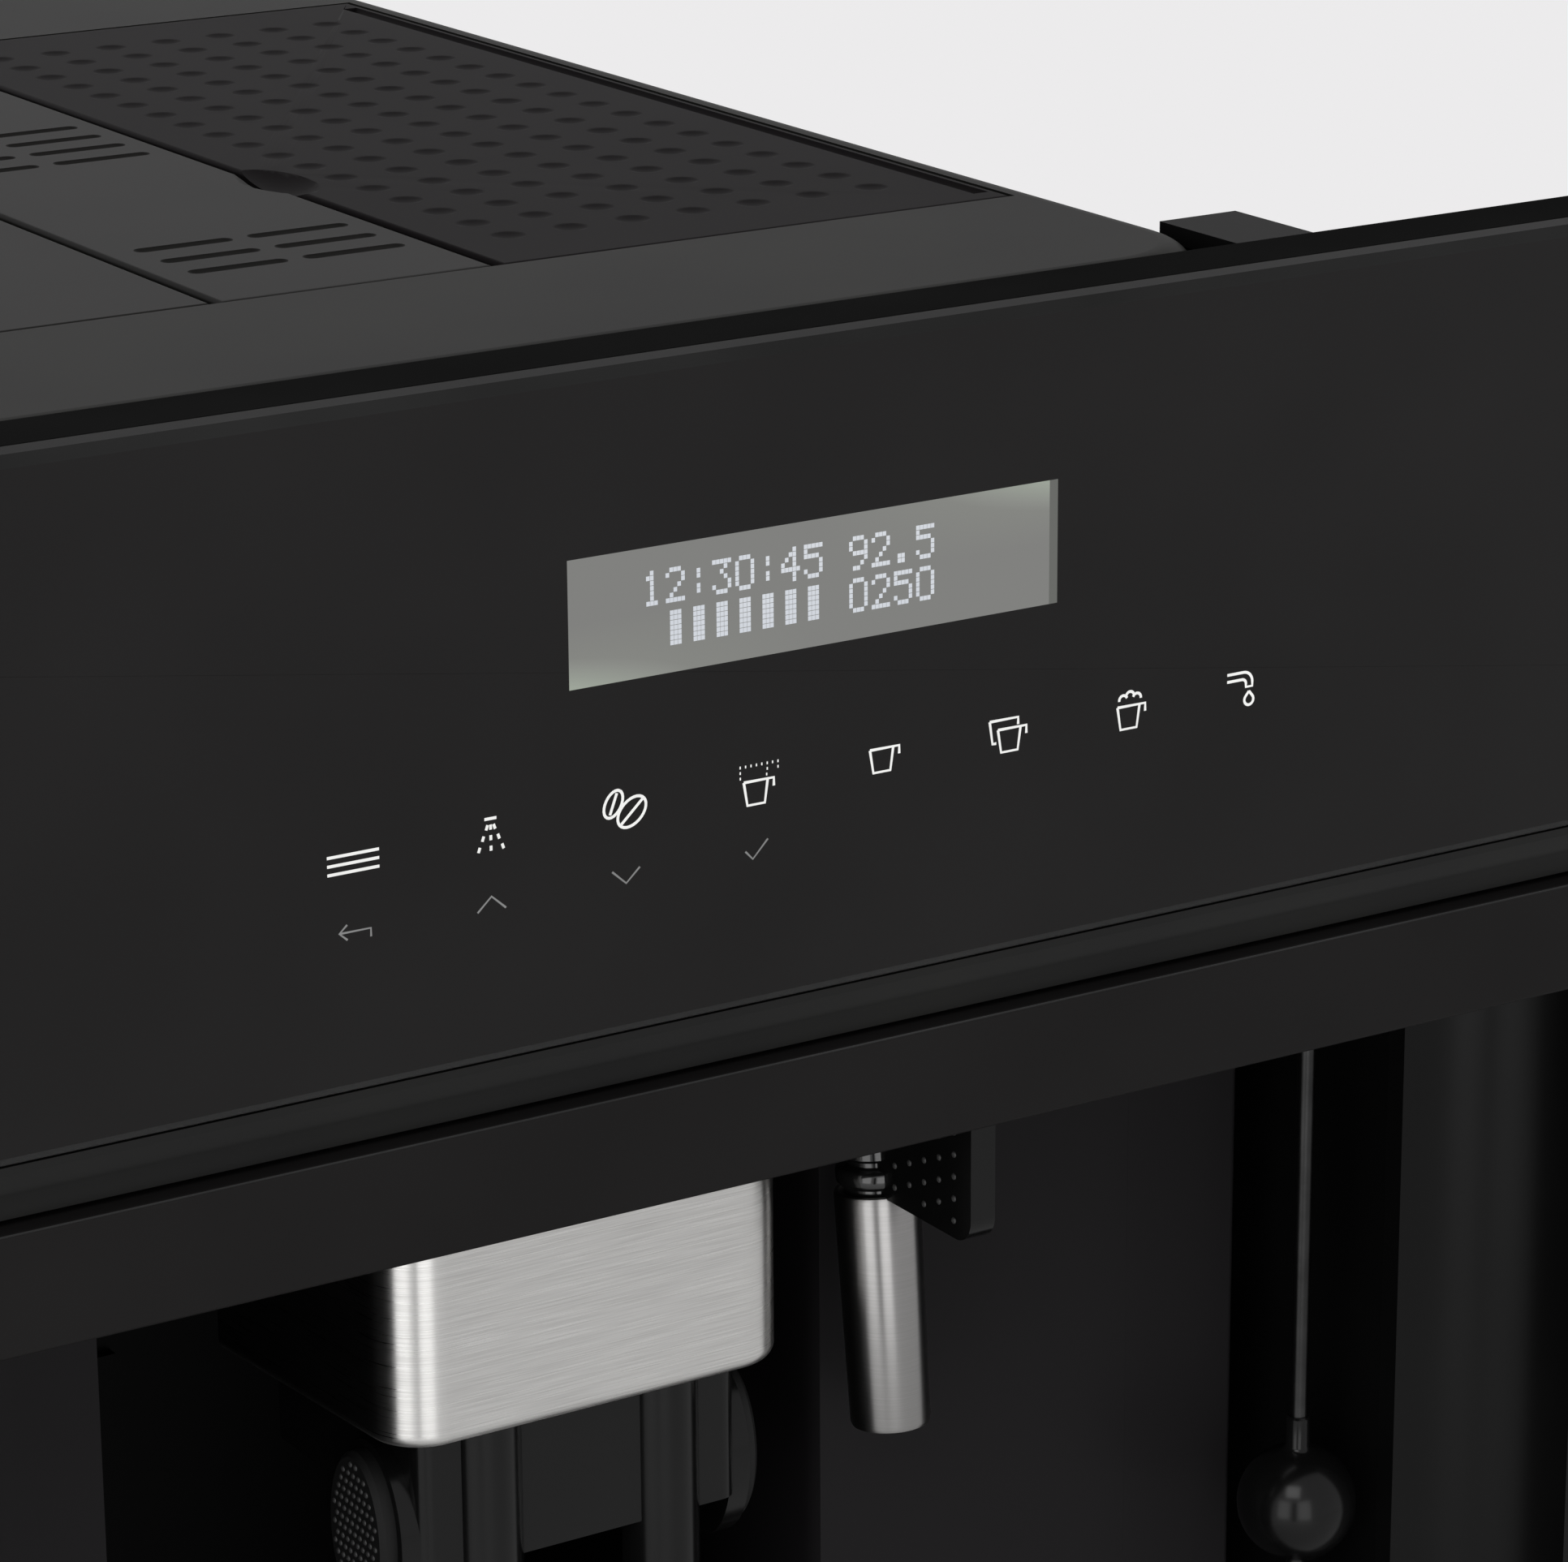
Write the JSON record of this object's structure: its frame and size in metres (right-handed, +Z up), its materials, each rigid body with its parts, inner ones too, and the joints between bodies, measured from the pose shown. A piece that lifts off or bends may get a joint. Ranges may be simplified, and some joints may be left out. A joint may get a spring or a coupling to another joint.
{
  "type": "built-in coffee machine",
  "caption": "Built-in bean-to-cup coffee machine on pull-out runners, with glass touch panel, height-adjustable spout, swinging steam wand and slide-out drip tray.",
  "frame": {"origin": "middle of the bounding box in X and Y, at its lowest level, under the runner base", "axes": "+X to the user's right along the front panel, -Y out of the cabinet towards the user, +Z up"},
  "size_m": [0.595, 0.412, 0.455],
  "materials": {
    "folded_steel": "galvanised sheet, satin",
    "black_glass": "black toughened glass, polished",
    "black_plastic": "moulded, fine satin",
    "grey_plastic": "moulded, satin",
    "painted_frame": "powder coat, satin",
    "display": "grey-green liquid crystal window in a metal bezel",
    "circuit_board": "green board with components",
    "clear_plastic": "smoked clear, polished",
    "bright_steel": "fine brushed grain",
    "polished_rod": "polished",
    "cast_aluminium": "as cast",
    "grinder_shell": "glass filled plastic",
    "burr_steel": "ground steel",
    "hose": "white tube",
    "soft_rubber": "dotted soft rubber",
    "float_red": "red moulded"
  },
  "bodies": {
    "cabinet_base": {"runner_base": "folded_steel", "outer_rail_right": "folded_steel", "outer_rail_left": "folded_steel"},
    "middle_runner": {"middle_rail_right": "folded_steel", "middle_rail_left": "folded_steel"},
    "machine": {"inner_rail_right": "folded_steel", "inner_rail_left": "folded_steel", "chassis": "folded_steel", "front_frame": "painted_frame", "side_duct_right": "grey_plastic", "side_duct_left": "grey_plastic", "control_glass": "black_glass", "panel_housing": "black_plastic", "display_module": "display", "panel_boards": "circuit_board", "trim_profile": "black_plastic", "lower_fascia": "black_plastic", "front_moulding": "grey_plastic", "top_cover": "grey_plastic", "vent_strip": "grey_plastic", "side_panel_right": "black_plastic", "side_panel_left": "black_plastic", "rear_panel": "black_plastic", "power_inlet": "black_plastic", "switch_frame": "black_plastic", "bean_hopper": "clear_plastic", "tank_seat": "black_plastic", "pump": "grinder_shell", "pump_mounts": "soft_rubber", "thermoblock": "cast_aluminium", "steam_pipe": "hose", "hoses": "hose", "grinder": "grinder_shell", "upper_burr": "burr_steel", "brew_unit": "grinder_shell", "power_board": "circuit_board", "coffee_pipe": "hose", "spout_tower": "black_plastic", "wand_pivot": "black_plastic"},
    "bean_lid": {"bean_lid": "grey_plastic"},
    "tank": {"water_tank": "clear_plastic"},
    "tank_lid": {"tank_lid": "grey_plastic"},
    "spout": {"spout_cover": "bright_steel", "spout_body": "black_plastic", "spout_nozzles": "black_plastic", "spout_grips": "soft_rubber"},
    "wand": {"wand_neck": "black_plastic", "wand_sleeve": "bright_steel", "wand_fin": "black_plastic"},
    "tray": {"drip_tray": "black_plastic", "drip_grid": "bright_steel", "grounds_container": "black_plastic"},
    "float": {"tray_float": "float_red"},
    "service_door": {"service_door": "black_plastic"},
    "rocker": {"switch_rocker": "black_plastic"},
    "burr": {"lower_burr": "burr_steel"},
    "knob": {"grind_knob": "black_plastic"},
    "piston": {"brew_piston": "grinder_shell"},
    "release": {"release_rod": "polished_rod", "release_knob": "black_plastic"}
  },
  "joints": [
    {"name": "pull_out", "type": "slide", "parent": "cabinet_base", "child": "machine", "axis": [0, -1, 0], "range_m": [0, 0.3]},
    {"name": "middle_slide", "type": "slide", "parent": "cabinet_base", "child": "middle_runner", "axis": [0, -1, 0], "range_m": [0, 0.15]},
    {"name": "bean_lid_hinge", "type": "hinge", "parent": "machine", "child": "bean_lid", "pos_m": [0.1097, 0.0245, 0.4413], "axis": [0, 1, 0], "range_deg": [0, 100]},
    {"name": "tank_lift", "type": "slide", "parent": "machine", "child": "tank", "axis": [0, 0, 1], "range_m": [0, 0.25]},
    {"name": "tank_lid_hinge", "type": "hinge", "parent": "tank", "child": "tank_lid", "pos_m": [-0.0728, 0.0945, 0.4413], "axis": [-1, 0, 0], "range_deg": [0, 95]},
    {"name": "spout_slide", "type": "slide", "parent": "machine", "child": "spout", "axis": [0, 0, -1], "range_m": [0, 0.055]},
    {"name": "wand_swing", "type": "hinge", "parent": "machine", "child": "wand", "pos_m": [0.0415, -0.1526, 0.345], "axis": [0, -1, 0], "range_deg": [0, 35]},
    {"name": "tray_slide", "type": "slide", "parent": "machine", "child": "tray", "axis": [0, -1, 0], "range_m": [0, 0.16]},
    {"name": "float_rise", "type": "slide", "parent": "tray", "child": "float", "axis": [0, 0, 1], "range_m": [0, 0.006]},
    {"name": "service_door_hinge", "type": "hinge", "parent": "machine", "child": "service_door", "pos_m": [0.11775, 0.07836, 0.141], "axis": [0, 0, 1], "range_deg": [0, 95]},
    {"name": "main_switch", "type": "hinge", "parent": "machine", "child": "rocker", "pos_m": [-0.04, 0.2, 0.096], "axis": [0, 0, -1], "range_deg": [0, 10]},
    {"name": "burr_spin", "type": "hinge", "parent": "machine", "child": "burr", "pos_m": [0.078, 0.009, 0.33], "axis": [0, 0, 1], "continuous": true},
    {"name": "grind_setting", "type": "hinge", "parent": "machine", "child": "knob", "pos_m": [0.092, 0.122, 0.43], "axis": [0, 0, 1], "range_deg": [-75, 75]},
    {"name": "brew_lift", "type": "slide", "parent": "machine", "child": "piston", "axis": [0, 0, 1], "range_m": [0, 0.03]},
    {"name": "release_turn", "type": "hinge", "parent": "machine", "child": "release", "pos_m": [0.1175, -0.166, 0.2], "axis": [0, 0, 1], "range_deg": [0, 90]}
  ],
  "couplings": [
    {"joint": "middle_slide", "follows": "pull_out", "ratio": 0.5}
  ]
}
